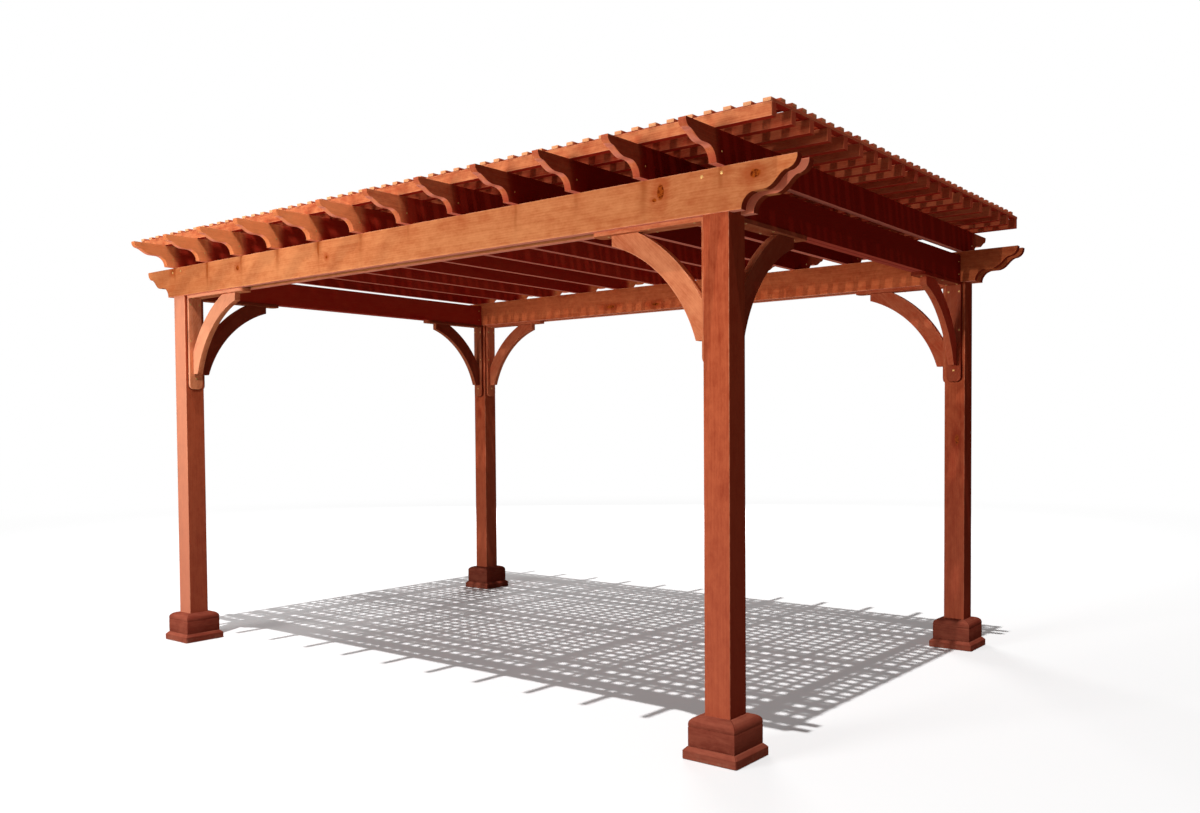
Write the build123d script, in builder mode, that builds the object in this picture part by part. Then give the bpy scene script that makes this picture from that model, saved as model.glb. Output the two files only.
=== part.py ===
from build123d import *
import os

os.makedirs("parts", exist_ok=True)

# Millimetres. X runs along the front beam, Y runs to the back, Z is up.
# The origin is on the ground, midway between the four posts.

# Posts
POST_SPACING_X = 4240
POST_SPACING_Y = 2814
POST_WIDTH = 130
POST_ROUND = 4
BEAM_BOTTOM = 2318

# Front and back beams, each of two plies either side of the tongue on the post
PLY_THICKNESS = 38
BEAM_HEIGHT = 190
BEAM_WIDTH = 140
BEAM_OVERHANG = 386
BEAM_TOP = BEAM_BOTTOM + BEAM_HEIGHT
TONGUE = BEAM_WIDTH - 2 * PLY_THICKNESS

# Side beams, each a pair of boards nailed face to face
SIDE_BEAM_HEIGHT = 165
SIDE_BEAM_WIDTH = 2 * PLY_THICKNESS
JOINT_GROOVE = 3

# Rafters
RAFTER_COUNT = 12
RAFTER_HEIGHT = 140
RAFTER_OVERHANG = 360
RAFTER_OUTSET = 32
RAFTER_TOP = BEAM_TOP + RAFTER_HEIGHT

# Ogee tail: a round nose, an S curve, a flat shoulder and a cove
LIP = 5
BEAM_NOSE = 52
BEAM_CURVE_END = 155
BEAM_SHOULDER_END = 190
BEAM_DROP = 122
RAFTER_NOSE = 34
RAFTER_CURVE_END = 117
RAFTER_SHOULDER_END = 157
RAFTER_DROP = 74

# Curved knee braces on back plates
PLATE_WIDTH = 89
PLATE_THICKNESS = 19
PLATE_LENGTH = 625
PLATE_CORNER = 30
BRACE_THICKNESS = 38
BRACE_CENTRE = 700
BRACE_INNER = 680
BRACE_OUTER = 778
BRACE_REACH = 505

# Post base: a chamfered skirt under a grooved box with a coved cap
SKIRT_WIDTH = 273
SKIRT_HEIGHT = 54
SKIRT_CHAMFER = 18
BOX_WIDTH = 234
BOX_TOP = 151
GROOVE_FROM_TOP = 14
GROOVE_SIZE = 4
CAP_EDGE = 6
CAP_TOP = 183
CAP_LEDGE = 4
COVE_RADIUS = 40

# Roof: stringers along X, lower slats along Y, upper slats along X
STRINGER_COUNT = 20
STRINGER_WIDTH = 38
STRINGER_HEIGHT = 58
STRINGER_OUTSET = 129
ROOF_LENGTH = POST_SPACING_X + 630
STRINGER_TOP = RAFTER_TOP + STRINGER_HEIGHT
SLAT_WIDTH = 38
SLAT_THICKNESS = 16
LOWER_SLAT_COUNT = 53
UPPER_SLAT_COUNT = 36
LOWER_SLAT_OVERHANG = 5
LOWER_SLAT_TOP = STRINGER_TOP + SLAT_THICKNESS

HALF_X = POST_SPACING_X / 2
HALF_Y = POST_SPACING_Y / 2
STRINGER_SPAN = POST_SPACING_Y + 2 * STRINGER_OUTSET
ROOF_DEPTH = STRINGER_SPAN + STRINGER_WIDTH + 2 * LOWER_SLAT_OVERHANG

CORNERS = {
    "front_left": (-1, -1),
    "front_right": (1, -1),
    "back_left": (-1, 1),
    "back_right": (1, 1),
}


def save(part, name):
    part.label = name
    export_step(part, "parts/" + name + ".step")


def spread(count, span):
    """Evenly spaced places across a span, centred on zero."""
    return [span * (place / (count - 1) - 0.5) for place in range(count)]


def post(name, x, y):
    with BuildPart() as piece:
        with BuildSketch(Plane.XY):
            with Locations((x, y)):
                Rectangle(POST_WIDTH, POST_WIDTH)
        extrude(amount=BEAM_BOTTOM)
        fillet(piece.edges().filter_by(Axis.Z), radius=POST_ROUND)
        with BuildSketch(Plane.XY.offset(BEAM_BOTTOM)):
            with Locations((x, y)):
                Rectangle(POST_WIDTH, TONGUE)
        extrude(amount=BEAM_HEIGHT)
    save(piece.part, name + "_post")


def base_skirt(name, x, y):
    with BuildPart() as piece:
        with BuildSketch(Plane.XY):
            with Locations((x, y)):
                Rectangle(SKIRT_WIDTH, SKIRT_WIDTH)
        extrude(amount=SKIRT_HEIGHT)
        chamfer(piece.faces().sort_by(Axis.Z)[-1].edges(), length=SKIRT_CHAMFER)
        with BuildSketch(Plane.XY):
            with Locations((x, y)):
                Rectangle(POST_WIDTH, POST_WIDTH)
        extrude(amount=SKIRT_HEIGHT, mode=Mode.SUBTRACT)
    save(piece.part, name + "_base_skirt")


def base_box(name, x, y):
    half = BOX_WIDTH / 2
    groove = BOX_TOP - GROOVE_FROM_TOP
    cap_foot = POST_WIDTH / 2 + CAP_LEDGE
    with BuildSketch() as side:
        with BuildLine():
            wall = Polyline(
                (0, SKIRT_HEIGHT),
                (half, SKIRT_HEIGHT),
                (half, groove - GROOVE_SIZE),
                (half - GROOVE_SIZE, groove),
                (half, groove + GROOVE_SIZE),
                (half, BOX_TOP),
                (half - CAP_EDGE, BOX_TOP + CAP_EDGE),
            )
            cove = RadiusArc(wall @ 1, (cap_foot, CAP_TOP), COVE_RADIUS)
            Polyline(cove @ 1, (0, CAP_TOP), (0, SKIRT_HEIGHT))
        make_face()
        mirror(about=Plane.YZ)
    with BuildPart() as piece:
        with BuildSketch(Plane.XZ):
            add(side.sketch)
        extrude(amount=BOX_WIDTH, both=True)
        with BuildSketch(Plane.YZ):
            add(side.sketch)
        extrude(amount=BOX_WIDTH, both=True, mode=Mode.INTERSECT)
        with BuildSketch(Plane.XY):
            Rectangle(POST_WIDTH, POST_WIDTH)
        extrude(amount=CAP_TOP, mode=Mode.SUBTRACT)
    save(piece.part.moved(Location((x, y, 0))), name + "_base_box")


def board_outline(half_length, bottom, height, nose, curve_end, shoulder_end, drop):
    """Side view of a board with an ogee tail at each end, drawn from its middle."""
    top = bottom + height
    with BuildSketch() as outline:
        with BuildLine():
            Polyline((0, top), (half_length, top), (half_length, top - LIP))
            bulge = CenterArc((half_length - nose, top - LIP), nose, 0, -90)
            curve = Spline(
                bulge @ 1,
                (half_length - curve_end, top - drop),
                tangents=[(-1, -0.35), (-1, -0.05)],
            )
            shoulder = Line(curve @ 1, (half_length - shoulder_end, top - drop))
            hollow = CenterArc((half_length - shoulder_end, bottom), height - drop, 90, 90)
            Polyline(hollow @ 1, (0, bottom), (0, top))
        make_face()
        mirror(about=Plane.YZ)
    return outline.sketch


def beam_ply(name, back_face):
    outline = board_outline(
        HALF_X + BEAM_OVERHANG,
        BEAM_BOTTOM,
        BEAM_HEIGHT,
        BEAM_NOSE,
        BEAM_CURVE_END,
        BEAM_SHOULDER_END,
        BEAM_DROP,
    )
    with BuildPart() as piece:
        with BuildSketch(Plane.XZ.offset(-back_face)):
            add(outline)
        extrude(amount=PLY_THICKNESS)
    save(piece.part, name)


def side_beam(name, x):
    length = POST_SPACING_Y - BEAM_WIDTH
    half = SIDE_BEAM_WIDTH / 2
    low = BEAM_BOTTOM
    high = BEAM_BOTTOM + SIDE_BEAM_HEIGHT
    with BuildPart() as piece:
        with BuildSketch(Plane.XZ.offset(-length / 2)):
            with BuildLine():
                Polyline(
                    (x - half, low),
                    (x - JOINT_GROOVE, low),
                    (x, low + JOINT_GROOVE),
                    (x + JOINT_GROOVE, low),
                    (x + half, low),
                    (x + half, high),
                    (x + JOINT_GROOVE, high),
                    (x, high - JOINT_GROOVE),
                    (x - JOINT_GROOVE, high),
                    (x - half, high),
                    close=True,
                )
            make_face()
        extrude(amount=length)
    save(piece.part, name)


def rafter(number, x):
    outline = board_outline(
        HALF_Y + RAFTER_OVERHANG,
        BEAM_TOP,
        RAFTER_HEIGHT,
        RAFTER_NOSE,
        RAFTER_CURVE_END,
        RAFTER_SHOULDER_END,
        RAFTER_DROP,
    )
    with BuildPart() as piece:
        with BuildSketch(Plane.YZ.offset(x - PLY_THICKNESS / 2)):
            add(outline)
        extrude(amount=PLY_THICKNESS)
    save(piece.part, f"rafter_{number:02d}")


def knee_brace(name, x, y, turn):
    """A brace with its two back plates, drawn on the right of a post and turned into place."""
    face = POST_WIDTH / 2
    corner = face + PLATE_THICKNESS
    with BuildPart() as piece:
        with BuildSketch(Plane.XZ.offset(-BRACE_THICKNESS / 2)):
            with Locations((corner + BRACE_CENTRE, -PLATE_THICKNESS - BRACE_CENTRE)):
                Circle(BRACE_OUTER)
                Circle(BRACE_INNER, mode=Mode.SUBTRACT)
            with Locations((corner, -PLATE_THICKNESS)):
                Rectangle(
                    BRACE_REACH, BRACE_REACH, align=(Align.MIN, Align.MAX), mode=Mode.INTERSECT
                )
        extrude(amount=BRACE_THICKNESS)
        with BuildSketch(Plane.YZ.offset(face)) as upright:
            with Locations((0, -PLATE_LENGTH / 2)):
                Rectangle(PLATE_WIDTH, PLATE_LENGTH)
            fillet(upright.vertices().sort_by(Axis.Y)[:2], radius=PLATE_CORNER)
        extrude(amount=PLATE_THICKNESS)
        with BuildSketch(Plane.XY.offset(-PLATE_THICKNESS)) as level:
            with Locations((corner, 0)):
                Rectangle(
                    PLATE_LENGTH - PLATE_THICKNESS, PLATE_WIDTH, align=(Align.MIN, Align.CENTER)
                )
            fillet(level.vertices().sort_by(Axis.X)[-2:], radius=PLATE_CORNER)
        extrude(amount=PLATE_THICKNESS)
    save(piece.part.moved(Location((x, y, BEAM_BOTTOM), (0, 0, turn))), name)


def bars_along_x(name, places, width, bottom, thickness):
    with BuildPart() as piece:
        with BuildSketch(Plane.XY.offset(bottom)):
            with Locations([(0, y) for y in places]):
                Rectangle(ROOF_LENGTH, width)
        extrude(amount=thickness)
    save(piece.part, name)


def bars_along_y(name, places, width, bottom, thickness):
    with BuildPart() as piece:
        with BuildSketch(Plane.XY.offset(bottom)):
            with Locations([(x, 0) for x in places]):
                Rectangle(width, ROOF_DEPTH)
        extrude(amount=thickness)
    save(piece.part, name)


# Posts, their bases, and the knee braces either side of each post
for corner, (side_x, side_y) in CORNERS.items():
    x = side_x * HALF_X
    y = side_y * HALF_Y
    post(corner, x, y)
    base_skirt(corner, x, y)
    base_box(corner, x, y)
    knee_brace(corner + "_beam_brace", x, y, 0 if side_x < 0 else 180)
    knee_brace(corner + "_side_brace", x, y, 90 if side_y < 0 else -90)

# Front and back beams
for name, side_y in (("front", -1), ("back", 1)):
    outer = HALF_Y + BEAM_WIDTH / 2
    inner = HALF_Y - TONGUE / 2
    outer_back = outer if side_y > 0 else PLY_THICKNESS - outer
    inner_back = inner if side_y > 0 else PLY_THICKNESS - inner
    beam_ply(name + "_beam_outer", outer_back)
    beam_ply(name + "_beam_inner", inner_back)

side_beam("left_side_beam", -HALF_X)
side_beam("right_side_beam", HALF_X)

for place, x in enumerate(spread(RAFTER_COUNT, POST_SPACING_X + 2 * RAFTER_OUTSET)):
    rafter(place + 1, x)

# Roof layers from the rafters up
stringers = spread(STRINGER_COUNT, STRINGER_SPAN)
half_way = STRINGER_COUNT // 2
for name, places in (
    ("front_stringers", stringers[:half_way]),
    ("back_stringers", stringers[half_way:]),
):
    bars_along_x(name, places, STRINGER_WIDTH, RAFTER_TOP, STRINGER_HEIGHT)

lower_slats = spread(LOWER_SLAT_COUNT, ROOF_LENGTH - SLAT_WIDTH)
third = LOWER_SLAT_COUNT // 3
for name, places in (
    ("left_lower_slats", lower_slats[:third]),
    ("middle_lower_slats", lower_slats[third:-third]),
    ("right_lower_slats", lower_slats[-third:]),
):
    bars_along_y(name, places, SLAT_WIDTH, STRINGER_TOP, SLAT_THICKNESS)

upper_slats = spread(UPPER_SLAT_COUNT, ROOF_DEPTH - SLAT_WIDTH)
half_way = UPPER_SLAT_COUNT // 2
for name, places in (
    ("front_upper_slats", upper_slats[:half_way]),
    ("back_upper_slats", upper_slats[half_way:]),
):
    bars_along_x(name, places, SLAT_WIDTH, LOWER_SLAT_TOP, SLAT_THICKNESS)
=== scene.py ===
import math
import random

import bpy
from mathutils import Matrix, Vector


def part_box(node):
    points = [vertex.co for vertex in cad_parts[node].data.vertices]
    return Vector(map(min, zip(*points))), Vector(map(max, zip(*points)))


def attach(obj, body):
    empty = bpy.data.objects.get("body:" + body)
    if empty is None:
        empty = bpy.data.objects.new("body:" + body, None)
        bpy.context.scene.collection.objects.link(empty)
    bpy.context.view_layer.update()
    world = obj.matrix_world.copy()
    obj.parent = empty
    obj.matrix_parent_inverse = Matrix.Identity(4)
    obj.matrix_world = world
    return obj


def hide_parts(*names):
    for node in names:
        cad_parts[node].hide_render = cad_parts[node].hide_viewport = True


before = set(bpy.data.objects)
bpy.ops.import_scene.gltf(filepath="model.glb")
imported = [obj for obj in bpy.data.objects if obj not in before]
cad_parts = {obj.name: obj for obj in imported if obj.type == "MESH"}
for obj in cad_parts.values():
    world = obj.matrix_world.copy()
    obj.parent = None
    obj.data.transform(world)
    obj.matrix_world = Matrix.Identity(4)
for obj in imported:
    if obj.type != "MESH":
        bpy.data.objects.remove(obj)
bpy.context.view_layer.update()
bpy.ops.object.select_all(action="DESELECT")

X, Y, Z = 0, 1, 2

# Places on the pergola, in metres
POST_X = 2.12
POST_Y = 1.407
POST_HALF = 0.065
BEAM_FACE = POST_Y + 0.07
BEAM_BOTTOM = 2.318
BEAM_TOP = 2.508
SIDE_BEAM_HALF = 0.038
RAFTER_COUNT = 12
RAFTER_FIRST = -2.152
RAFTER_PITCH = 4.304 / (RAFTER_COUNT - 1)
PLATE_THICKNESS = 0.019
PLATE_HALF = 0.0445
PLATE_CORNER = 0.030
PLATE_FOOT = BEAM_BOTTOM - 0.625
BRACE_CENTRE = 0.700
BRACE_INNER = 0.680
BRACE_OUTER = 0.778
BAR_WIDTH = 0.038
STRINGER_COUNT = 20
STRINGER_FIRST = -1.536
STRINGER_PITCH = 3.072 / (STRINGER_COUNT - 1)
LOWER_COUNT = 53
LOWER_FIRST = -2.416
LOWER_PITCH = 4.832 / (LOWER_COUNT - 1)
UPPER_COUNT = 36
UPPER_FIRST = -1.541
UPPER_PITCH = 3.082 / (UPPER_COUNT - 1)
SLAT_LENGTH = (4.870, 3.120)
SLAT_THICKNESS = 0.016
LOWER_BOTTOM = 2.706
UPPER_BOTTOM = LOWER_BOTTOM + SLAT_THICKNESS
CORNERS = {
    "front_left": (-1, -1),
    "front_right": (1, -1),
    "back_left": (-1, 1),
    "back_right": (1, 1),
}

# How far a slat may be out: bowed or skewed sideways, and cut short
SLAT_BOW = 0.0025
SLAT_SHORT = 0.006

# Boxes of the bases: heights and half widths up the side, with the groove, then the cap's curve
BOX_HALF = 0.117
BOX_PROFILE = [(0.054, BOX_HALF), (0.135, BOX_HALF), (0.137, 0.1153), (0.139, BOX_HALF)]
CAP_SPRING, CAP_RISE = 0.150, 0.033
CAP_FLAT, CAP_ROUND = 0.069, 0.048
CAP_TURNS = range(0, 91, 15)

# Edges rounded over by hand, and how far the finish's relief stands out
WELD_GAP = 0.00002
SMOOTH_ANGLE = math.radians(35)
RELIEF_DEPTH = 0.0015
EASED_ANGLE = math.radians(40)
BOARD_EASE = 0.0018
SLAT_EASE = 0.0012
BOX_EASE = 0.0016
SKIRT_EASE = 0.008

# Screws: drops and offsets on the braces' plates, and their places on the other boards
PLATE_PAIR_DROPS = (0.060, 0.303)
PLATE_PAIR_HALF = 0.033
PLATE_END_DROP = 0.555
BEAM_SCREWS = ((-0.064, 0.030), (0.034, 0.026))
TOE_SCREW_Y = 1.502
TOE_SCREW_Z = 2.562
SIDE_SCREW_Y = 1.305
SIDE_SCREW_HEIGHTS = (2.362, 2.440)
BEAM_SCREW_SIZE = 1.15
SMALL_SCREW_SIZE = 0.7
SCREW_TURN = math.radians(37)
SCREW_STAR = 0.62

# Knots that show on the front beam: place along it, height, half length, half height
KNOT_SIZE = 0.014
FRONT_BEAM_KNOTS = (
    (2.314, 2.455, 0.026, 0.019),
    (1.842, 2.446, 0.020, 0.036),
    (1.808, 2.414, 0.012, 0.009),
    (-1.415, 2.436, 0.017, 0.016),
    (-2.188, 2.485, 0.015, 0.015),
    (-0.511, 2.410, 0.010, 0.009),
)

# Camera, solved from the posts and beams
CAMERA_PLACE = Vector((4.486, -5.217, 1.432))
CAMERA_YAW = 0.667
CAMERA_PITCH = -0.031
CAMERA_ROLL = -0.007
CAMERA_LENS = 31.27
CAMERA_SHIFT = (-0.0068, 0.0425)


def srgb(red, green, blue):
    """A colour read off a screen, 0 to 255, as the shader wants it."""
    channels = []
    for value in (red, green, blue):
        value = value / 255
        channels.append(value / 12.92 if value <= 0.04045 else ((value + 0.055) / 1.055) ** 2.4)
    return (*channels, 1)


# Cedar under a translucent red stain, from the pale beams to the soaked bases
STAINS = {
    "beam_wood": dict(light=srgb(212, 136, 86), deep=srgb(176, 88, 48)),
    "back_beam_wood": dict(light=srgb(206, 112, 68), deep=srgb(166, 68, 36)),
    "brace_wood": dict(light=srgb(214, 134, 92), deep=srgb(170, 78, 46)),
    "post_wood": dict(light=srgb(186, 92, 58), deep=srgb(140, 50, 28)),
    "base_wood": dict(light=srgb(142, 75, 57), deep=srgb(106, 44, 33)),
    "rafter_wood": dict(light=srgb(226, 132, 86), deep=srgb(164, 62, 36)),
    "stringer_wood": dict(light=srgb(224, 140, 92), deep=srgb(164, 62, 36)),
    "slat_wood": dict(light=srgb(222, 134, 92), deep=srgb(166, 62, 38)),
}
# Painted shade, for faces turned away from the light
PAINTED_SHADE = srgb(98, 14, 8)
ROOF_SHADE = srgb(150, 20, 15)
# Painted light, for fronts that face the light
PAINTED_LIGHT = srgb(240, 176, 142)
SUNNY_TAIL = srgb(246, 152, 92)
# Painted light bounced up from the floor, for undersides
PAINTED_BOUNCE_LIGHT = srgb(240, 150, 128)
# Painted light, for the inner board's front behind the outer one
PAINTED_TAIL_LIGHT = srgb(255, 150, 118)
KNOT_RIM = srgb(166, 76, 22)
KNOT_HEART = srgb(92, 28, 8)
END_GRAIN = srgb(176, 82, 58)
SLAT_END = srgb(240, 176, 126)
JOINT_SHADOW = srgb(62, 12, 6)
WORN_EDGE = srgb(226, 146, 108)
# Darker streaks under the rafters, also painted shade on the beam's left end
DARK_STREAKS_AND_SHADE = srgb(150, 74, 34)
POST_FOOT = srgb(158, 82, 62)
NAIL_HEAD = srgb(96, 84, 78)
FLOOR_DUST = srgb(150, 112, 92)
ZINC_DULL = srgb(178, 130, 70)
ZINC_BRIGHT = srgb(226, 182, 112)
FLOOR_SEEN = (0.86, 0.86, 0.86, 1)
FLOOR_THROWN = (0.40, 0.37, 0.35, 1)
FLOOR_SIZE = 120
FLOOR_FADE = (6.0, 15.0)
ROOM_LIGHT = 0.10

# How much each part of the grain deepens the stain, counted from its own middle
STAIN_WEIGHTS = (
    ("late", 0.0, 0.20),
    ("fibre", 0.5, 0.4),
    ("streak", 0.5, 0.65),
    ("mottle", 0.5, 1.6),
    ("blotch", 0.42, 1.5),
    ("halo", 0.0, 0.6),
)
# How far each part of the grain stands out of the surface
RELIEF_WEIGHTS = (("fibre", 0.6), ("late", 0.35), ("rim", 0.4), ("heart", -0.7))


class Finish:
    """One board's finish under way: its nodes, and the sums between them."""

    def __init__(self, name):
        self.material = bpy.data.materials.new(name)
        self.material.use_nodes = True
        self.tree = self.material.node_tree
        self.tree.nodes.clear()
        self.coordinates = self.node("ShaderNodeTexCoord")

    def node(self, kind, **settings):
        """A new node with its settings."""
        made = self.tree.nodes.new(kind)
        for name, value in settings.items():
            setattr(made, name, value)
        return made

    def feed(self, socket, value):
        """Links a node's output to a socket, or sets the socket to a plain value."""
        if isinstance(value, bpy.types.NodeSocket):
            self.tree.links.new(value, socket)
        else:
            socket.default_value = value

    def sum(self, operation, *values):
        made = self.node("ShaderNodeMath", operation=operation)
        for socket, value in zip(made.inputs, values):
            self.feed(socket, value)
        return made.outputs[0]

    def add(self, first, second):
        return self.sum("ADD", first, second)

    def less(self, first, second):
        return self.sum("SUBTRACT", first, second)

    def times(self, first, second):
        return self.sum("MULTIPLY", first, second)

    def step(self, value, low, high, start=0.0, end=1.0):
        """Runs smoothly from start to end while value goes from low to high."""
        made = self.node("ShaderNodeMapRange", interpolation_type="SMOOTHSTEP")
        for socket, given in zip(made.inputs, (value, low, high, start, end)):
            self.feed(socket, given)
        return made.outputs[0]

    def vector(self, *values):
        """Three numbers as one vector."""
        made = self.node("ShaderNodeCombineXYZ")
        for socket, value in zip(made.inputs, values):
            self.feed(socket, value)
        return made.outputs[0]

    def split(self, vector):
        """One vector as three numbers."""
        made = self.node("ShaderNodeSeparateXYZ")
        self.feed(made.inputs[0], vector)
        return list(made.outputs)

    def length(self, *values):
        made = self.node("ShaderNodeVectorMath", operation="LENGTH")
        self.feed(made.inputs[0], self.vector(*values))
        return made.outputs["Value"]

    def noise(self, vector, scale, detail=2.0, roughness=0.5):
        made = self.node("ShaderNodeTexNoise")
        self.feed(made.inputs["Vector"], vector)
        made.inputs["Scale"].default_value = scale
        made.inputs["Detail"].default_value = detail
        made.inputs["Roughness"].default_value = roughness
        return made.outputs["Fac"]

    def lot(self, number):
        """Three random numbers, the same for the whole of one bar."""
        made = self.node("ShaderNodeTexWhiteNoise", noise_dimensions="1D")
        self.feed(made.inputs["W"], number)
        return self.split(made.outputs["Color"])

    def mix(self, factor, first, second):
        """The first colour at a factor of 0, and the second at 1."""
        made = self.node("ShaderNodeMix", data_type="RGBA")
        for place, value in zip((0, 6, 7), (factor, first, second)):
            self.feed(made.inputs[place], value)
        return made.outputs[2]

    def faces(self, axis, low, high, start=0.0, end=1.0):
        """A step on how squarely the surface faces along one axis, from -1 to 1."""
        normal = self.split(self.coordinates.outputs["Normal"])[axis]
        return self.step(normal, low, high, start, end)

    def finish(self, colour, roughness, height, bump=0.35, gloss=0.0, metal=0.0):
        """The material itself, from its colour, roughness and relief."""
        relief = self.node("ShaderNodeBump")
        relief.inputs["Strength"].default_value = bump
        relief.inputs["Distance"].default_value = RELIEF_DEPTH
        self.feed(relief.inputs["Height"], height)
        shader = self.node("ShaderNodeBsdfPrincipled")
        shader.inputs["Specular IOR Level"].default_value = gloss
        shader.inputs["Metallic"].default_value = metal
        self.feed(shader.inputs["Base Color"], colour)
        self.feed(shader.inputs["Roughness"], roughness)
        self.feed(shader.inputs["Normal"], relief.outputs[0])
        output = self.node("ShaderNodeOutputMaterial")
        self.feed(output.inputs["Surface"], shader.outputs[0])
        return self.material


def cedar_grain(finish, along, wide, thick, chance, ring=0.009, knots=(),
                knot_cell=(0.15, 0.5, 0.9)):
    """Rings, fibres, blotches and knots. chance holds three random numbers for the board."""
    slow = finish.vector(
        finish.add(wide, finish.times(chance[0], 3)),
        finish.add(thick, finish.times(chance[1], 3)),
        finish.add(finish.times(along, 0.12), finish.times(chance[2], 7)),
    )
    wander = finish.less(finish.noise(slow, 9.0, 2.0), 0.5)
    # Knots: one to a cell, and only some of the cells
    cell = finish.node("ShaderNodeTexVoronoi")
    across_cell, along_cell, deep_cell = knot_cell
    finish.feed(
        cell.inputs["Vector"],
        finish.vector(
            finish.add(finish.times(wide, 1 / across_cell), finish.times(chance[0], 31)),
            finish.add(finish.times(along, 1 / along_cell), finish.times(chance[1], 57)),
            finish.add(finish.times(thick, 1 / deep_cell), finish.times(chance[2], 43)),
        ),
    )
    cell.inputs["Scale"].default_value = 1.0
    keep = finish.split(cell.outputs["Color"])[0]
    away = finish.times(cell.outputs["Distance"], across_cell)
    away = finish.add(away, finish.step(keep, 0.62, 0.52, 0.0, 1.0))
    for knot_along, knot_wide, half_length, half_height in knots:
        own = finish.length(
            finish.times(finish.less(along, knot_along), KNOT_SIZE / half_length),
            finish.times(finish.less(wide, knot_wide), KNOT_SIZE / half_height),
            0.0,
        )
        away = finish.sum("MINIMUM", away, own)
    ragged = finish.noise(finish.vector(wide, thick, along), 85.0, 2.0)
    away = finish.add(away, finish.times(finish.less(ragged, 0.5), 0.009))
    swirl = finish.step(away, 0.075, 0.012)
    bark = finish.step(finish.sum("ABSOLUTE", finish.less(away, 0.0100)), 0.0036, 0.0010)
    pith = finish.step(away, 0.0095, 0.0030, 0.0, 0.8)
    heart = finish.times(finish.sum("MAXIMUM", bark, pith),
                         finish.step(ragged, 0.42, 0.58, 0.10, 1.0))
    rim = finish.step(away, KNOT_SIZE + 0.002, KNOT_SIZE - 0.004)
    halo = finish.step(away, 0.048, 0.012)
    # Rings round a pith that lies outside the board and wanders along it
    pith_wide = finish.less(finish.times(chance[1], 0.16), 0.08)
    pith_thick = finish.add(finish.times(chance[2], 0.05), 0.03)
    radius = finish.length(
        finish.add(finish.less(wide, pith_wide), finish.times(wander, 0.05)),
        finish.add(finish.add(thick, pith_thick), finish.times(wander, 0.09)),
        0.0,
    )
    turn = finish.add(finish.times(radius, 1 / ring), finish.times(swirl, 1.6))
    turn = finish.add(turn, finish.times(finish.noise(slow, 60.0, 3.0), 0.7))
    late = finish.sum("POWER", finish.sum("FRACT", turn), 2.2)
    fibre_place = finish.vector(
        finish.add(wide, finish.times(swirl, 0.004)),
        thick,
        finish.times(along, 0.025),
    )
    fibre = finish.noise(fibre_place, 420.0, 3.0, 0.65)
    streak = finish.noise(fibre_place, 75.0, 2.0, 0.6)
    blotch = finish.noise(slow, 4.5, 3.0, 0.55)
    cloth = finish.vector(finish.add(wide, chance[0]), thick, finish.times(along, 0.55))
    mottle = finish.noise(cloth, 24.0, 4.0, 0.7)
    return dict(late=late, fibre=fibre, streak=streak, blotch=blotch, mottle=mottle,
                heart=heart, rim=rim, halo=halo)


def stained_colour(finish, stain, grain, board_tone=0.5):
    """The stain over the grain, from pale early wood to soaked late wood."""
    depth = finish.times(finish.less(board_tone, 0.5), 0.5)
    for part, middle, weight in STAIN_WEIGHTS:
        depth = finish.add(depth, finish.times(finish.less(grain[part], middle), weight))
    depth = finish.step(depth, -0.45, 1.1)
    colour = finish.mix(depth, stain["light"], stain["deep"])
    colour = finish.mix(finish.times(grain["rim"], 0.95), colour, KNOT_RIM)
    return finish.mix(finish.times(grain["heart"], 0.95), colour, KNOT_HEART)


def relief_of(finish, grain):
    """The height of the weathered surface, from the parts of its grain."""
    height = 0.0
    for part, weight in RELIEF_WEIGHTS:
        height = finish.add(height, finish.times(grain[part], weight))
    return height


def sheen_of(finish, grain, smooth=0.5, rough=0.68):
    """The roughness of the stain, a little less where it lies thin."""
    return finish.step(grain["streak"], 0.2, 0.8, smooth, rough)


def worn_edges(finish, places, lows, highs, amount=0.75):
    """How near a point on a board is to one of its long edges, where the stain is rubbed thin."""
    gaps = []
    for place, low, high in zip(places, lows, highs):
        off = finish.sum("ABSOLUTE", finish.less(place, (low + high) / 2))
        gaps.append(finish.less((high - low) / 2, off))
    edge = finish.sum("MAXIMUM", *gaps)
    rough = finish.noise(finish.coordinates.outputs["Object"], 28.0, 2.0)
    return finish.times(finish.step(edge, 0.0050, 0.001),
                        finish.step(rough, 0.35, 0.62, 0.2, amount))


def nearest(finish, place, first, pitch):
    """The number and the place of the nearest of a row of evenly spaced things."""
    number = finish.sum("ROUND", finish.times(finish.less(place, first), 1 / pitch))
    return number, finish.add(finish.times(number, pitch), first)


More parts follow.
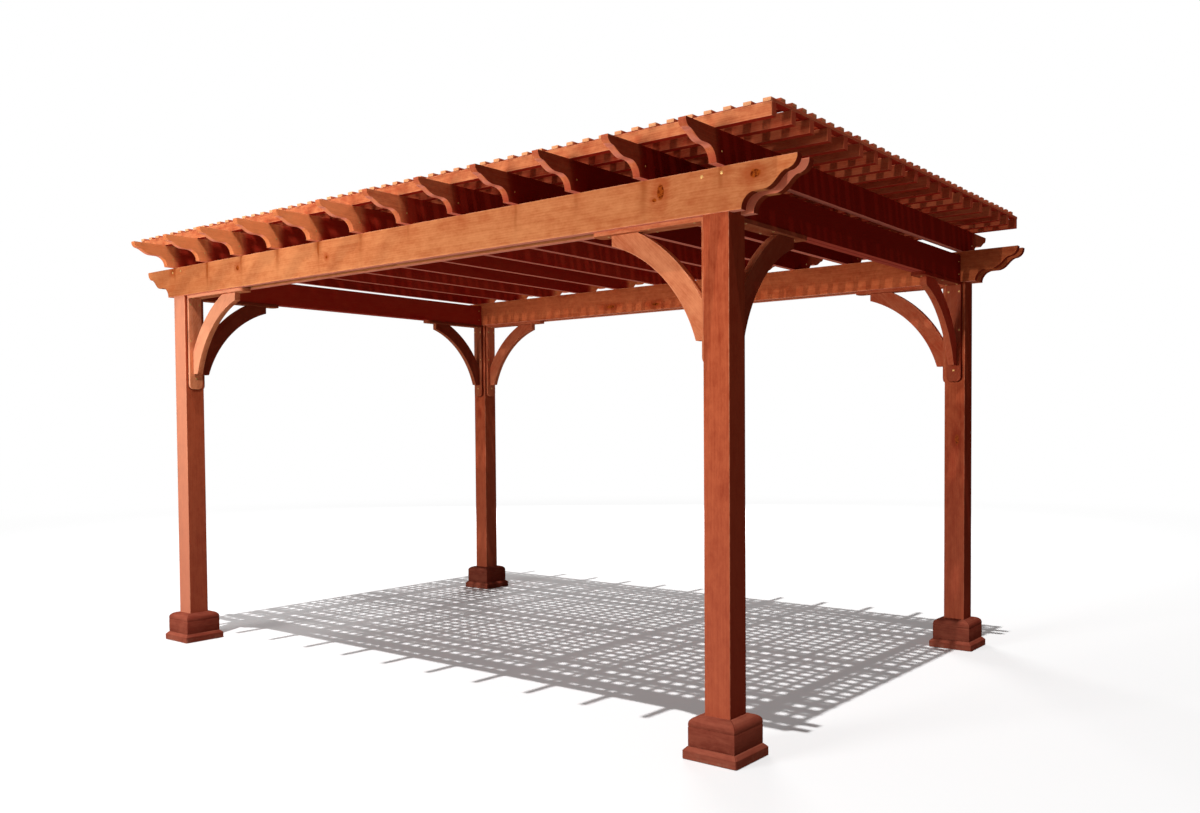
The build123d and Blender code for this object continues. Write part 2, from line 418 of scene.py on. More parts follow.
def board_finish(node, slot, axis, seed, bars=None, nails=None, extra=None, **grain_words):
    """The finish of a straight board or a layer of bars, its grain along one axis.

    bars gives the axis across the bars, the first bar's place, their pitch and their width.
    nails gives the first nail's place along each bar and the pitch of the nails.
    """
    finish = Finish(node + "_finish")
    dice = random.Random(seed)
    low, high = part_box(node)
    places = finish.split(finish.coordinates.outputs["Object"])
    across = [other for other in (X, Y, Z) if other != axis]
    if bars:
        wide_axis, first, pitch, width = bars
        thick_axis = [other for other in across if other != wide_axis][0]
        number, middle = nearest(finish, places[wide_axis], first, pitch)
        chance = finish.lot(finish.add(number, float(seed)))
        wide = finish.less(places[wide_axis], middle)
        wide_low, wide_high = -width / 2, width / 2
        tone = chance[1]
    else:
        if high[across[0]] - low[across[0]] < high[across[1]] - low[across[1]]:
            across.reverse()
        wide_axis, thick_axis = across
        chance = [dice.random() for _ in range(3)]
        wide = places[wide_axis]
        wide_low, wide_high = low[wide_axis], high[wide_axis]
        tone = 0.3 + 0.4 * dice.random()
    thick = places[thick_axis]
    grain = cedar_grain(finish, places[axis], wide, thick, chance, **grain_words)
    colour = stained_colour(finish, STAINS[slot], grain, tone)
    height = relief_of(finish, grain)
    if nails:
        _, nail = nearest(finish, places[axis], *nails)
        off = finish.length(finish.less(places[axis], nail), wide, 0.0)
        spot = finish.times(finish.step(off, 0.0036, 0.0024), finish.faces(Z, 0.5, 0.9))
        colour = finish.mix(spot, colour, NAIL_HEAD)
        height = finish.less(height, finish.times(finish.step(off, 0.006, 0.002), 1.2))
    end = finish.sum("MAXIMUM", finish.faces(axis, 0.55, 0.98), finish.faces(axis, -0.55, -0.98))
    end_colour = SLAT_END if slot == "slat_wood" else END_GRAIN
    colour = finish.mix(finish.times(end, 0.7), colour, end_colour)
    worn = worn_edges(finish, (wide, thick), (wide_low, low[thick_axis]),
                      (wide_high, high[thick_axis]))
    colour = finish.mix(worn, colour, WORN_EDGE)
    if extra:
        colour = extra(finish, places, colour)
    return finish.finish(colour, sheen_of(finish, grain), height)


def streaks_and_painted_light(finish, places, colour):
    """Faint, soft, uneven darker streaks down the beam under each rafter, painted shade on its
    left end, and painted light and shade at its right end.
    """
    number, middle = nearest(finish, places[X], RAFTER_FIRST, RAFTER_PITCH)
    chance = finish.lot(finish.add(number, 5.0))
    weave = finish.noise(finish.vector(0.0, number, places[Z]), 16.0, 3.0)
    drift = finish.add(finish.times(finish.less(weave, 0.5), 0.03), finish.times(chance[2], 0.012))
    off = finish.sum("ABSOLUTE", finish.add(finish.less(places[X], middle), drift))
    # A dark core in a wide cloud, fading downwards, stronger toward the left end
    core = finish.step(off, finish.add(0.012, finish.times(chance[2], 0.014)), 0.002, 0.0, 0.80)
    cloud = finish.step(off, 0.060, 0.0, 0.0, 0.78)
    reach = finish.less(BEAM_TOP - 0.06, finish.times(chance[0], 0.16))
    down = finish.step(places[Z], reach, BEAM_TOP - 0.01, 0.12, 1.0)
    stain = finish.times(finish.add(core, cloud), down)
    stain = finish.times(stain, finish.step(chance[1], 0, 1, 0.25, 0.75))
    stain = finish.times(stain, finish.step(places[X], 0.6, -1.0, 0.6, 1.5))
    # Painted shade over the whole left end of the beam
    stain = finish.sum("MAXIMUM", stain, finish.step(places[X], -1.3, -2.1, 0.0, 0.34))
    return painted_light_at_right_end(finish, places, finish.mix(stain, colour, DARK_STREAKS_AND_SHADE))


def painted_light_on_post(side):
    """Painted light and shade on a post, browner towards its foot, and painted contact shadow
    beside the braces' plates.
    """

    def post_light_and_foot(finish, places, colour):
        # Painted light on the front of the front left post
        painted_front_light = finish.times(finish.faces(Y, -0.3, -0.9), 0.4 if side == (-1, -1) else 0.0)
        colour = finish.mix(painted_front_light, colour, PAINTED_LIGHT)
        low = finish.step(places[Z], 2.0, 0.2, 0.0, 0.45)
        colour = finish.mix(low, colour, POST_FOOT)
        # Painted shade on faces turned right or back, more towards the right
        away = finish.sum("MAXIMUM", finish.faces(X, 0.3, 0.9), finish.faces(Y, 0.3, 0.9))
        kept = finish.times(away, finish.step(places[X], -1.0, 1.0, 0.2, 0.7))
        colour = finish.mix(kept, colour, PAINTED_SHADE)
        # How far a point on the post is from the rounded outline of its plate
        for axis in (X, Y):
            other = 1 - axis
            across = finish.less(places[other], side[other] * (POST_X, POST_Y)[other])
            wide = finish.less(finish.sum("ABSOLUTE", across), PLATE_HALF - PLATE_CORNER)
            deep = finish.less(PLATE_FOOT + PLATE_CORNER, places[Z])
            corner = (finish.sum("MAXIMUM", wide, 0.0), finish.sum("MAXIMUM", deep, 0.0), 0.0)
            off = finish.less(finish.length(*corner), PLATE_CORNER)
            inward = finish.faces(axis, -0.5 * side[axis], -0.9 * side[axis], 0.0, 0.8)
            # Painted contact shadow, a thin dark line round the plate
            line = finish.times(finish.step(off, 0.008, 0.002), inward)
            colour = finish.mix(line, colour, JOINT_SHADOW)
        return colour

    return post_light_and_foot


def painted_light_at_right_end(finish, places, colour):
    """Painted shade on the beams' sawn right ends where they face right, and painted bounce light
    on the beams' undersides.
    """
    # Painted shade on faces turned right at the right end
    right = finish.times(finish.faces(X, 0.02, 0.25), finish.step(places[X], 1.8, 2.2, 0.0, 0.88))
    colour = finish.mix(right, colour, PAINTED_SHADE)
    # Painted light bounced up from the floor onto the undersides
    below = finish.times(finish.faces(Z, -0.90, -0.98, 0.0, 0.8),
                         finish.step(places[Z], 2.33, 2.32))
    return finish.mix(below, colour, PAINTED_BOUNCE_LIGHT)


def painted_light_on_inner_tail(finish, places, colour):
    """Painted light on the front of the front beam's inner board, where it shows behind the outer
    one at the right end.
    """
    front = finish.times(finish.faces(Y, -0.3, -0.9), finish.step(places[X], 2.1, 2.2, 0.0, 0.9))
    return painted_light_at_right_end(finish, places, finish.mix(front, colour, PAINTED_TAIL_LIGHT))


def painted_light_under_roof(finish, places, colour):
    """Painted shade under the slats and painted sunlight on the left tails outside, with painted
    shade on faces turned right and painted bounce light on undersides.
    """
    # The sun reaches a little further in under the roof on the left
    out = finish.sum("ABSOLUTE", places[Y])
    out = finish.add(out, finish.step(places[X], 0.6, -0.4, 0.0, 0.065))
    # Painted sunlight on the left tails outside the roof
    sunny = finish.times(finish.step(out, 1.53, 1.57), finish.step(places[X], 0.6, -0.8, 0.0, 0.5))
    colour = finish.mix(sunny, colour, SUNNY_TAIL)
    # Painted shade inside the roof's edge
    colour = finish.mix(finish.step(out, 1.57, 1.50, 0.0, 0.88), colour, ROOF_SHADE)
    # Painted shade on faces turned right, more towards the right
    right = finish.times(finish.faces(X, 0.3, 0.9), finish.step(places[X], -0.2, 1.2, 0.0, 0.8))
    colour = finish.mix(right, colour, PAINTED_SHADE)
    # Painted light bounced up from the floor onto the undersides
    below = finish.times(finish.faces(Z, -0.8, -0.95),
                         finish.step(places[Z], 2.40, 2.50, 0.15, 0.65))
    return finish.mix(below, colour, PAINTED_BOUNCE_LIGHT)


def painted_shade_in_roof(finish, places, colour):
    """Painted shade on the roof's own layers: full where they look down, half on their sides
    behind the front edge.
    """
    inside = finish.step(places[Y], -1.552, -1.540, 0.0, 0.5)
    below = finish.faces(Z, -0.3, -0.9, 0.0, 0.9)
    kept = finish.sum("MAXIMUM", finish.times(inside, finish.faces(Z, 0.9, 0.3)), below)
    return finish.mix(kept, colour, ROOF_SHADE)


def brace_finish(node, corner, axis, seed):
    """A sawn curved brace with slanting grain, on plates whose grain runs their own length."""
    finish = Finish(node + "_finish")
    dice = random.Random(seed)
    side = CORNERS[corner]
    post = (side[X] * POST_X, side[Y] * POST_Y)
    places = finish.split(finish.coordinates.outputs["Object"])
    other = Y if axis == X else X
    # How far a point is out from the post, and how far down from the beam
    out = finish.times(finish.less(places[axis], post[axis]), -side[axis])
    out = finish.less(out, POST_HALF)
    drop = finish.less(BEAM_BOTTOM, places[Z])
    across = finish.less(places[other], post[other])
    on_upright = finish.step(out, PLATE_THICKNESS + 0.0004, PLATE_THICKNESS - 0.0004)
    on_level = finish.step(drop, PLATE_THICKNESS + 0.0004, PLATE_THICKNESS - 0.0004)
    on_level = finish.times(on_level, finish.less(1.0, on_upright))

    def choose(slant, upright, level):
        """One of three values, for the brace, the plate on the post or the plate above."""
        kept = finish.add(slant, finish.times(on_upright, finish.less(upright, slant)))
        return finish.add(kept, finish.times(on_level, finish.less(level, slant)))

    half = math.sqrt(0.5)
    slant_along = finish.times(finish.less(out, drop), half)
    slant_wide = finish.times(finish.add(out, drop), half)
    along = choose(slant_along, drop, out)
    wide = choose(slant_wide, finish.add(across, 0.7), finish.add(across, 1.3))
    thick = choose(across, out, drop)
    chance = [dice.random() for _ in range(3)]
    grain = cedar_grain(finish, along, wide, thick, chance, ring=0.010,
                        knot_cell=(0.13, 0.42, 0.8))
    colour = stained_colour(finish, STAINS["brace_wood"], grain, 0.3 + 0.4 * dice.random())
    centre = PLATE_THICKNESS + BRACE_CENTRE
    radius = finish.length(finish.less(out, centre), finish.less(drop, centre), 0.0)
    worn = worn_edges(finish, (radius, across), (BRACE_INNER, -BAR_WIDTH / 2),
                      (BRACE_OUTER, BAR_WIDTH / 2))
    on_brace = finish.less(finish.less(1.0, on_upright), on_level)
    colour = finish.mix(finish.times(worn, on_brace), colour, WORN_EDGE)
    # Dark lines where the side of the brace meets the plates
    seam = finish.sum("MINIMUM",
                      finish.sum("ABSOLUTE", finish.less(out, PLATE_THICKNESS)),
                      finish.sum("ABSOLUTE", finish.less(drop, PLATE_THICKNESS)))
    flank = finish.less(finish.sum("ABSOLUTE", across), BAR_WIDTH / 2)
    flank = finish.step(finish.sum("ABSOLUTE", flank), 0.0014, 0.0006)
    reach = finish.sum("MAXIMUM", out, drop)
    touching = finish.times(finish.step(reach, 0.376, 0.381), finish.step(reach, 0.526, 0.523))
    seam = finish.times(finish.step(seam, 0.0016, 0.0004, 0, 0.8), flank)
    colour = finish.mix(finish.times(seam, touching), colour, JOINT_SHADOW)
    # Painted shade on the side braces, strongest on faces turned right, and on the plates of the
    # one at the back on the right
    if axis == Y:
        kept = finish.faces(X, 0.2, 0.9, 0.5, 0.85)
        colour = finish.mix(kept, colour, ROOF_SHADE if corner == "back_right" else PAINTED_SHADE)
        if corner == "back_right":
            plates = finish.sum("MAXIMUM", on_upright, on_level)
            colour = finish.mix(finish.times(plates, 0.75), colour, PAINTED_SHADE)
    elif corner == "front_left":
        # Painted light on its faces toward the front
        colour = finish.mix(finish.faces(Y, -0.3, -0.9, 0.0, 0.35), colour, PAINTED_LIGHT)
    elif side[Y] > 0:
        # Painted shade on the braces at the back
        colour = finish.mix(0.35, colour, ROOF_SHADE)
    return finish.finish(colour, sheen_of(finish, grain), relief_of(finish, grain))


def base_finish(node, corner, seed):
    """Four mitred boards round the foot of a post, each with its grain lying level."""
    finish = Finish(node + "_finish")
    places = finish.split(finish.coordinates.outputs["Object"])
    side = CORNERS[corner]
    off_x = finish.less(places[X], side[X] * POST_X)
    off_y = finish.less(places[Y], side[Y] * POST_Y)
    lead = finish.less(finish.sum("ABSOLUTE", off_x), finish.sum("ABSOLUTE", off_y))
    on_side = finish.step(lead, -0.0003, 0.0003)
    along = finish.add(off_x, finish.times(on_side, finish.less(off_y, off_x)))
    depth = finish.add(off_y, finish.times(on_side, finish.less(off_x, off_y)))
    board = finish.add(finish.times(on_side, 2.0), finish.sum("SIGN", depth))
    chance = finish.lot(finish.add(board, float(seed)))
    grain = cedar_grain(finish, along, places[Z], finish.sum("ABSOLUTE", depth), chance,
                        ring=0.010, knot_cell=(0.2, 0.35, 0.8))
    colour = stained_colour(finish, STAINS["base_wood"], grain, chance[1])
    mitre = finish.step(finish.sum("ABSOLUTE", lead), 0.0022, 0.0006, 0, 0.8)
    colour = finish.mix(mitre, colour, JOINT_SHADOW)
    # Painted shade on the faces turned right
    colour = finish.mix(finish.faces(X, 0.3, 0.9, 0.0, 0.35), colour, PAINTED_SHADE)
    patchy = finish.noise(finish.coordinates.outputs["Object"], 34.0, 3.0, 0.6)
    dust = finish.times(finish.step(places[Z], 0.045, 0.0),
                        finish.step(patchy, 0.45, 0.75, 0.0, 0.4))
    colour = finish.mix(dust, colour, FLOOR_DUST)
    height = finish.less(relief_of(finish, grain), finish.times(mitre, 1.2))
    return finish.finish(colour, sheen_of(finish, grain, 0.55, 0.75), height)


def dress(node, material):
    """Gives a node its finish."""
    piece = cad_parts[node]
    piece.data.materials.clear()
    piece.data.materials.append(material)


def dress_board(node, slot, axis, seed, **words):
    """Gives a straight board, or a layer of bars, its finish."""
    dress(node, board_finish(node, slot, axis, seed, **words))


dress_board("front_beam_inner", "beam_wood", X, 12, extra=painted_light_on_inner_tail, ring=0.011)
dress_board("back_beam_inner", "back_beam_wood", X, 24, extra=painted_light_at_right_end, ring=0.011)
dress_board("front_beam_outer", "beam_wood", X, 11, extra=streaks_and_painted_light, ring=0.011,
            knots=FRONT_BEAM_KNOTS, knot_cell=(0.5, 3.0, 0.9))
dress_board("back_beam_outer", "back_beam_wood", X, 23, extra=streaks_and_painted_light, ring=0.011)
dress_board("left_side_beam", "rafter_wood", Y, 31, extra=painted_light_under_roof)
dress_board("right_side_beam", "rafter_wood", Y, 37, extra=painted_light_under_roof)
for number in range(RAFTER_COUNT):
    dress_board(f"rafter_{number + 1:02d}", "rafter_wood", Y, 41 + number, extra=painted_light_under_roof)
for seed, (corner, side) in enumerate(CORNERS.items()):
    dress_board(corner + "_post", "post_wood", Z, 61 + seed, extra=painted_light_on_post(side),
                ring=0.012, knot_cell=(0.22, 0.5, 0.22))
    for part, first_seed in (("_base_skirt", 71), ("_base_box", 74)):
        dress(corner + part, base_finish(corner + part, corner, first_seed + 9 * seed))
    for part, axis, first_seed in (("_beam_brace", X, 131), ("_side_brace", Y, 141)):
        dress(corner + part, brace_finish(corner + part, corner, axis, first_seed + seed))
for part in ("front", "back"):
    dress_board(part + "_stringers", "stringer_wood", X, 151, extra=painted_shade_in_roof,
                bars=(Y, STRINGER_FIRST, STRINGER_PITCH, BAR_WIDTH))
    dress_board(part + "_upper_slats", "slat_wood", X, 211, extra=painted_shade_in_roof,
                bars=(Y, UPPER_FIRST, UPPER_PITCH, BAR_WIDTH),
                nails=(LOWER_FIRST, 4 * LOWER_PITCH))
for part in ("left", "middle", "right"):
    dress_board(part + "_lower_slats", "slat_wood", Y, 271, extra=painted_shade_in_roof,
                bars=(X, LOWER_FIRST, LOWER_PITCH, BAR_WIDTH),
                nails=(STRINGER_FIRST, STRINGER_PITCH))


def ease(piece, width, segments=2):
    """Rounds over a piece's edges, as its last modifier."""
    eased = piece.modifiers.new("eased", "BEVEL")
    eased.width = width
    eased.segments = segments
    eased.limit_method = "ANGLE"
    eased.angle_limit = EASED_ANGLE
    return eased


def block(length, depth, height, bottom):
    """A plain block of wood, alone selected, its middle over the origin."""
    bpy.ops.object.select_all(action="DESELECT")
    bpy.ops.mesh.primitive_cube_add(size=1, location=(0, 0, bottom + height / 2))
    piece = bpy.context.object
    piece.scale = (length, depth, height)
    bpy.ops.object.transform_apply(location=True, rotation=True, scale=True)
    return piece


def saw_lines(lines):
    """Cuts a ring of edges round the block at each place and direction."""
    bpy.ops.object.mode_set(mode="EDIT")
    for place, direction in lines:
        bpy.ops.mesh.select_all(action="SELECT")
        bpy.ops.mesh.bisect(plane_co=place, plane_no=direction)
    bpy.ops.object.mode_set(mode="OBJECT")


def modelled_slat(length):
    """A slat along X, with enough rings along it to bow, and eased edges."""
    slat = block(length, BAR_WIDTH, SLAT_THICKNESS, 0)
    saw_lines([((length * (cut / 8 - 0.5), 0, 0), (1, 0, 0)) for cut in range(1, 8)])
    ease(slat, SLAT_EASE)
    bpy.ops.object.modifier_apply(modifier="eased")
    return slat


def set_out(name, data):
    """A new object in the scene, from a mesh, a light or a camera of its own."""
    piece = bpy.data.objects.new(name, data)
    bpy.context.collection.objects.link(piece)
    return piece


def join_up(name, copies, material):
    """Makes one piece of several, and has it ride with the pergola."""
    bpy.ops.object.select_all(action="DESELECT")
    for copy in copies:
        copy.select_set(True)
    bpy.context.view_layer.objects.active = copies[0]
    bpy.ops.object.join()
    piece = bpy.context.object
    piece.name = name
    piece.data.name = name
    piece.data.materials.clear()
    piece.data.materials.append(material)
    bpy.ops.object.shade_smooth_by_angle(angle=SMOOTH_ANGLE)
    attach(piece, "root")
    bpy.ops.object.select_all(action="DESELECT")
    return piece


def stand_in(node, ending, copies):
    """Makes one piece of several, in the finish and the place of a node."""
    piece = join_up(node + ending, copies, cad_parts[node].data.materials[0])
    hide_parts(node)


def lay_slats(node, pattern, axis, places, bottom):
    """Copies of the slat laid by hand, a little out of true, in place of a layer's node."""
    length = SLAT_LENGTH[axis]
    copies = []
    for number, place in enumerate(places):
        mesh = pattern.data.copy()
        bow = SLAT_BOW * hand.uniform(-1, 1)
        skew = SLAT_BOW * hand.uniform(-1, 1)
        short = 1 - hand.uniform(0, SLAT_SHORT) / length
        slide = (1 - short) * length / 2 * hand.uniform(-1, 1)
        for vertex in mesh.vertices:
            part = 2 * vertex.co.x / length
            vertex.co.y += bow * (1 - part * part) + skew * part / 2
            vertex.co.x = vertex.co.x * short + slide
        if axis == Y:
            mesh.transform(Matrix.Rotation(math.radians(90), 4, "Z"))
        middle = Vector((0, place, bottom)) if axis == X else Vector((place, 0, bottom))
        mesh.transform(Matrix.Translation(middle))
        copies.append(set_out(f"{node}_{number}", mesh))
    stand_in(node, "_laid", copies)


# The roof's two layers, without the first and the last upper slat
hand = random.Random(7)
across_slats = [UPPER_FIRST + number * UPPER_PITCH for number in range(1, UPPER_COUNT - 1)]
down_slats = [LOWER_FIRST + number * LOWER_PITCH for number in range(LOWER_COUNT)]
half_way = len(across_slats) // 2
third = LOWER_COUNT // 3
pattern = modelled_slat(SLAT_LENGTH[X])
lay_slats("front_upper_slats", pattern, X, across_slats[:half_way], UPPER_BOTTOM)
lay_slats("back_upper_slats", pattern, X, across_slats[half_way:], UPPER_BOTTOM)
bpy.data.objects.remove(pattern)
pattern = modelled_slat(SLAT_LENGTH[Y])
lay_slats("left_lower_slats", pattern, Y, down_slats[:third], LOWER_BOTTOM)
lay_slats("middle_lower_slats", pattern, Y, down_slats[third:-third], LOWER_BOTTOM)
lay_slats("right_lower_slats", pattern, Y, down_slats[-third:], LOWER_BOTTOM)
bpy.data.objects.remove(pattern)

# The cap's curve, from the side of the box up to its flat top
for turn in CAP_TURNS:
    BOX_PROFILE.append((CAP_SPRING + CAP_RISE * math.sin(math.radians(turn)),
                        CAP_FLAT + CAP_ROUND * math.cos(math.radians(turn))))


def modelled_box():
    """The box of a base, made ring by ring, with a groove round it and a rounded cap."""
    low, high = BOX_PROFILE[0][0], BOX_PROFILE[-1][0]
    box = block(2 * BOX_HALF, 2 * BOX_HALF, high - low, low)
    saw_lines([((0, 0, height), (0, 0, 1)) for height, _ in BOX_PROFILE[1:-1]])
    for vertex in box.data.vertices:
        _, half = min(BOX_PROFILE, key=lambda ring: abs(ring[0] - vertex.co.z))
        vertex.co.x = math.copysign(half, vertex.co.x)
        vertex.co.y = math.copysign(half, vertex.co.y)
    ease(box, BOX_EASE)
    bpy.ops.object.modifier_apply(modifier="eased")
    return box


# One box to each corner
pattern = modelled_box()
for corner, side in CORNERS.items():
    mesh = pattern.data.copy()
    mesh.transform(Matrix.Translation((side[X] * POST_X, side[Y] * POST_Y, 0)))
    node = corner + "_base_box"
    stand_in(node, "_made", [set_out(node, mesh)])
bpy.data.objects.remove(pattern)

# Eased edges on every board
for node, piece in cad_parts.items():
    weld = piece.modifiers.new("joined", "WELD")
    weld.merge_threshold = WELD_GAP
    skirt = node.endswith("_base_skirt")
    eased = ease(piece, SKIRT_EASE if skirt else BOARD_EASE, 3 if skirt else 2)
    eased.use_clamp_overlap = True
    eased.harden_normals = True


def plated_steel():
    """Zinc plate gone yellow, dull in some places and bright in others."""
    finish = Finish("plated_steel")
    cloudy = finish.noise(finish.coordinates.outputs["Object"], 420.0, 3.0, 0.6)
    colour = finish.mix(finish.step(cloudy, 0.3, 0.7), ZINC_DULL, ZINC_BRIGHT)
    roughness = finish.step(cloudy, 0.3, 0.7, 0.4, 0.6)
    return finish.finish(colour, roughness, cloudy, bump=0.1, gloss=0.5, metal=0.6)


def picked(test):
    """Leaves only the faces that pass the test selected."""
    mesh = bpy.context.object.data
    bpy.ops.object.mode_set(mode="OBJECT")
    for thing in (mesh.vertices, mesh.edges, mesh.polygons):
        thing.foreach_set("select", [False] * len(thing))
    for face in mesh.polygons:
        face.select = test(face)
    bpy.ops.object.mode_set(mode="EDIT")


def modelled_screw():
    """A washer-headed timber screw, as far as it shows: a rim, a raised head and a star recess."""
    bpy.ops.object.select_all(action="DESELECT")
    bpy.ops.mesh.primitive_cylinder_add(vertices=12, radius=0.0065, depth=0.0012,
                                        location=(0, 0, 0.0004))
    screw = bpy.context.object
    bpy.ops.object.mode_set(mode="EDIT")
    picked(lambda face: face.normal.z > 0.9)
    # Each step inwards and upwards: the rim, the raised head, its dome and the recess
    for inwards, upwards in ((0.0016, 0.0003), (0.0004, 0.0010), (0.0012, 0.0004),
                             (0.0006, -0.0001), (0.0002, -0.0012)):
        bpy.ops.mesh.inset(thickness=inwards, depth=upwards)
    bpy.ops.object.mode_set(mode="OBJECT")
    # Every other point of the recess comes in, which makes its star
    inner = sorted({round(math.hypot(v.co.x, v.co.y), 6) for v in screw.data.vertices})[:2]
    for vertex in screw.data.vertices:
        reach = math.hypot(vertex.co.x, vertex.co.y)
        turn = round(math.degrees(math.atan2(vertex.co.y, vertex.co.x)) / 30)
        if round(reach, 6) in inner and turn % 2:
            vertex.co.x *= SCREW_STAR
            vertex.co.y *= SCREW_STAR
    bpy.ops.object.transform_apply(location=True, rotation=True, scale=True)
    return screw


def drive(name, pattern, places):
    """Copies of the screw, each with its head at a place and facing a way, as one piece."""
    copies = []
    for number, (place, way, size) in enumerate(places):
        mesh = pattern.data.copy()
        twist = Matrix.Rotation(SCREW_TURN * number, 4, "Z")
        turned = Vector(way).to_track_quat("Z", "Y").to_matrix().to_4x4()
        mesh.transform(Matrix.Translation(place) @ turned @ twist @ Matrix.Scale(size, 4))
        copies.append(set_out(name, mesh))
    join_up(name, copies, steel)


steel = plated_steel()
screw = modelled_screw()

# On the braces' plates: a pair beside each end of the brace, and one alone past its end
down = Vector((0, 0, -1))
heads_on_plate = [(PLATE_END_DROP, 0)]
for drop in PLATE_PAIR_DROPS:
    heads_on_plate += [(drop, -PLATE_PAIR_HALF), (drop, PLATE_PAIR_HALF)]
for corner, side in CORNERS.items():
    post = Vector((side[X] * POST_X, side[Y] * POST_Y, BEAM_BOTTOM))
    for axis, part in ((X, "beam_brace"), (Y, "side_brace")):
        inward = Vector((0, 0, 0))
        inward[axis] = -side[axis]
        sideways = Vector((0, 0, 0))
        sideways[1 - axis] = 1
        heads = []
        for away, wide in heads_on_plate:
            foot = post + inward * POST_HALF + sideways * wide
            heads += [(foot + inward * PLATE_THICKNESS + down * away, inward, 1.0),
                      (foot + inward * away + down * PLATE_THICKNESS, down, 1.0)]
        drive(f"{corner}_{part}_screws", screw, heads)

# Through the beams into the posts
for side_y, part in ((-1, "front"), (1, "back")):
    heads = []
    for side_x in (-1, 1):
        for off, below in BEAM_SCREWS:
            place = Vector((side_x * POST_X + off, side_y * BEAM_FACE, BEAM_TOP - below))
            heads.append((place, (0, side_y, 0), BEAM_SCREW_SIZE))
    drive(part + "_beam_screws", screw, heads)

# Through the rafters' sides into the beams
heads = []
for number in range(RAFTER_COUNT):
    middle = RAFTER_FIRST + number * RAFTER_PITCH
    for side_y in (-1, 1):
        for side_x in (-1, 1):
            place = Vector((middle + side_x * BAR_WIDTH / 2, side_y * TOE_SCREW_Y, TOE_SCREW_Z))
            heads.append((place, (side_x, 0, 0), SMALL_SCREW_SIZE))
drive("rafter_toe_screws", screw, heads)

# Through the ends of the side beams
heads = []
for side_x in (-1, 1):
    for face in (-1, 1):
        for side_y in (-1, 1):
            for height in SIDE_SCREW_HEIGHTS:
                place = Vector((side_x * POST_X + face * SIDE_BEAM_HALF,
                                side_y * SIDE_SCREW_Y, height))
                heads.append((place, (face, 0, 0), SMALL_SCREW_SIZE))
drive("side_beam_screws", screw, heads)
bpy.data.objects.remove(screw)

# Floor, which fades into the white background far out
bpy.ops.mesh.primitive_plane_add(size=FLOOR_SIZE, location=(0, 0, -0.001))
floor = bpy.context.object
floor.name = "floor"
pale = Finish("pale_floor")
rays = pale.node("ShaderNodeLightPath")
tone = pale.mix(rays.outputs["Is Camera Ray"], FLOOR_THROWN, FLOOR_SEEN)
matt = pale.node("ShaderNodeBsdfDiffuse")
pale.feed(matt.inputs["Color"], tone)
glow = pale.node("ShaderNodeEmission")
far = pale.node("ShaderNodeVectorMath", operation="LENGTH")
pale.feed(far.inputs[0], pale.coordinates.outputs["Object"])
faded = pale.times(pale.step(far.outputs["Value"], *FLOOR_FADE), rays.outputs["Is Camera Ray"])
blend = pale.node("ShaderNodeMixShader")
for socket, value in zip(blend.inputs, (faded, matt.outputs[0], glow.outputs[0])):
    pale.feed(socket, value)
pale.feed(pale.node("ShaderNodeOutputMaterial").inputs["Surface"], blend.outputs[0])
floor.data.materials.append(pale.material)

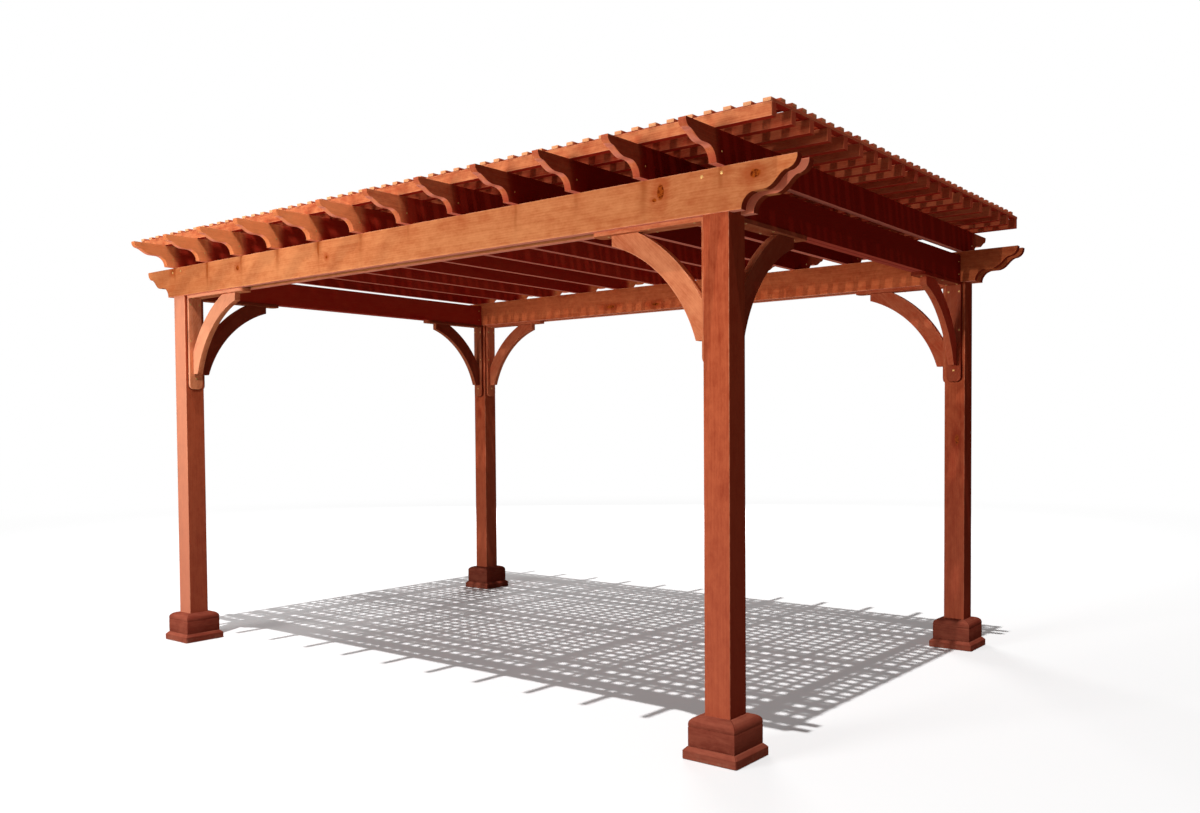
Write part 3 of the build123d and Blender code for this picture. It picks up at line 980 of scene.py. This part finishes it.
# Background, white where it is seen, mirrored or looked through, and dim as a light
world = bpy.data.worlds.new("studio")
bpy.context.scene.world = world
world.use_nodes = True
tree = world.node_tree
tree.nodes.clear()
rays = tree.nodes.new("ShaderNodeLightPath")
seen = tree.nodes.new("ShaderNodeMath")
clear = tree.nodes.new("ShaderNodeMath")
for total in (seen, clear):
    total.operation = "ADD"
    total.use_clamp = True
strength = tree.nodes.new("ShaderNodeMapRange")
strength.inputs["To Min"].default_value = ROOM_LIGHT
strength.inputs["To Max"].default_value = 1.0
sky = tree.nodes.new("ShaderNodeBackground")
sky.inputs["Color"].default_value = (1, 1, 1, 1)
output = tree.nodes.new("ShaderNodeOutputWorld")
for given, taken in (
    (rays.outputs["Is Camera Ray"], seen.inputs[0]),
    (rays.outputs["Is Glossy Ray"], seen.inputs[1]),
    (seen.outputs[0], clear.inputs[0]),
    (rays.outputs["Is Transmission Ray"], clear.inputs[1]),
    (clear.outputs[0], strength.inputs["Value"]),
    (strength.outputs[0], sky.inputs["Strength"]),
    (sky.outputs[0], output.inputs["Surface"]),
):
    tree.links.new(given, taken)


def hang(name, kind, place, target, **settings):
    """A lamp at a place, aimed at another."""
    light = bpy.data.lights.new(name, kind)
    for key, value in settings.items():
        setattr(light, key, value)
    lamp = set_out(name, light)
    lamp.location = place
    lamp.rotation_euler = (Vector(target) - Vector(place)).to_track_quat("-Z", "Y").to_euler()


# Two soft boxes, a spot on the left tails, and a high lamp for the slats' shadow
hang("front_softbox", "AREA", (-2.0, -11.0, 1.9), (0, 0, 1.6),
     shape="RECTANGLE", size=3.6, size_y=3.2, energy=800)
hang("back_softbox", "AREA", (-7.0, 9.0, 3.2), (0, 0, 1.6),
     shape="RECTANGLE", size=5.0, size_y=3.0, energy=800)
hang("left_end_spot", "SPOT", (3.6, -4.6, 6.6), (-1.9, -1.6, 1.9),
     spot_size=math.radians(28), spot_blend=0.9, shadow_soft_size=0.4, energy=950)
hang("high_lamp", "SUN", (1.2, -2.7, 11.3), (0, 0, 0), energy=2.8, angle=math.radians(0.7))

# Camera
forward = Vector((
    -math.sin(CAMERA_YAW) * math.cos(CAMERA_PITCH),
    math.cos(CAMERA_YAW) * math.cos(CAMERA_PITCH),
    math.sin(CAMERA_PITCH),
))
level = forward.cross(Vector((0, 0, 1))).normalized()
right = level * math.cos(CAMERA_ROLL) + level.cross(forward) * math.sin(CAMERA_ROLL)
upward = right.cross(forward)
camera = set_out("camera", bpy.data.cameras.new("camera"))
turned = Matrix((right, upward, -forward)).transposed().to_4x4()
camera.matrix_world = Matrix.Translation(CAMERA_PLACE) @ turned
camera.data.sensor_width = 36
camera.data.lens = CAMERA_LENS
camera.data.shift_x, camera.data.shift_y = CAMERA_SHIFT
camera.data.clip_end = 300
bpy.context.scene.camera = camera

bpy.context.scene.view_settings.view_transform = "Standard"
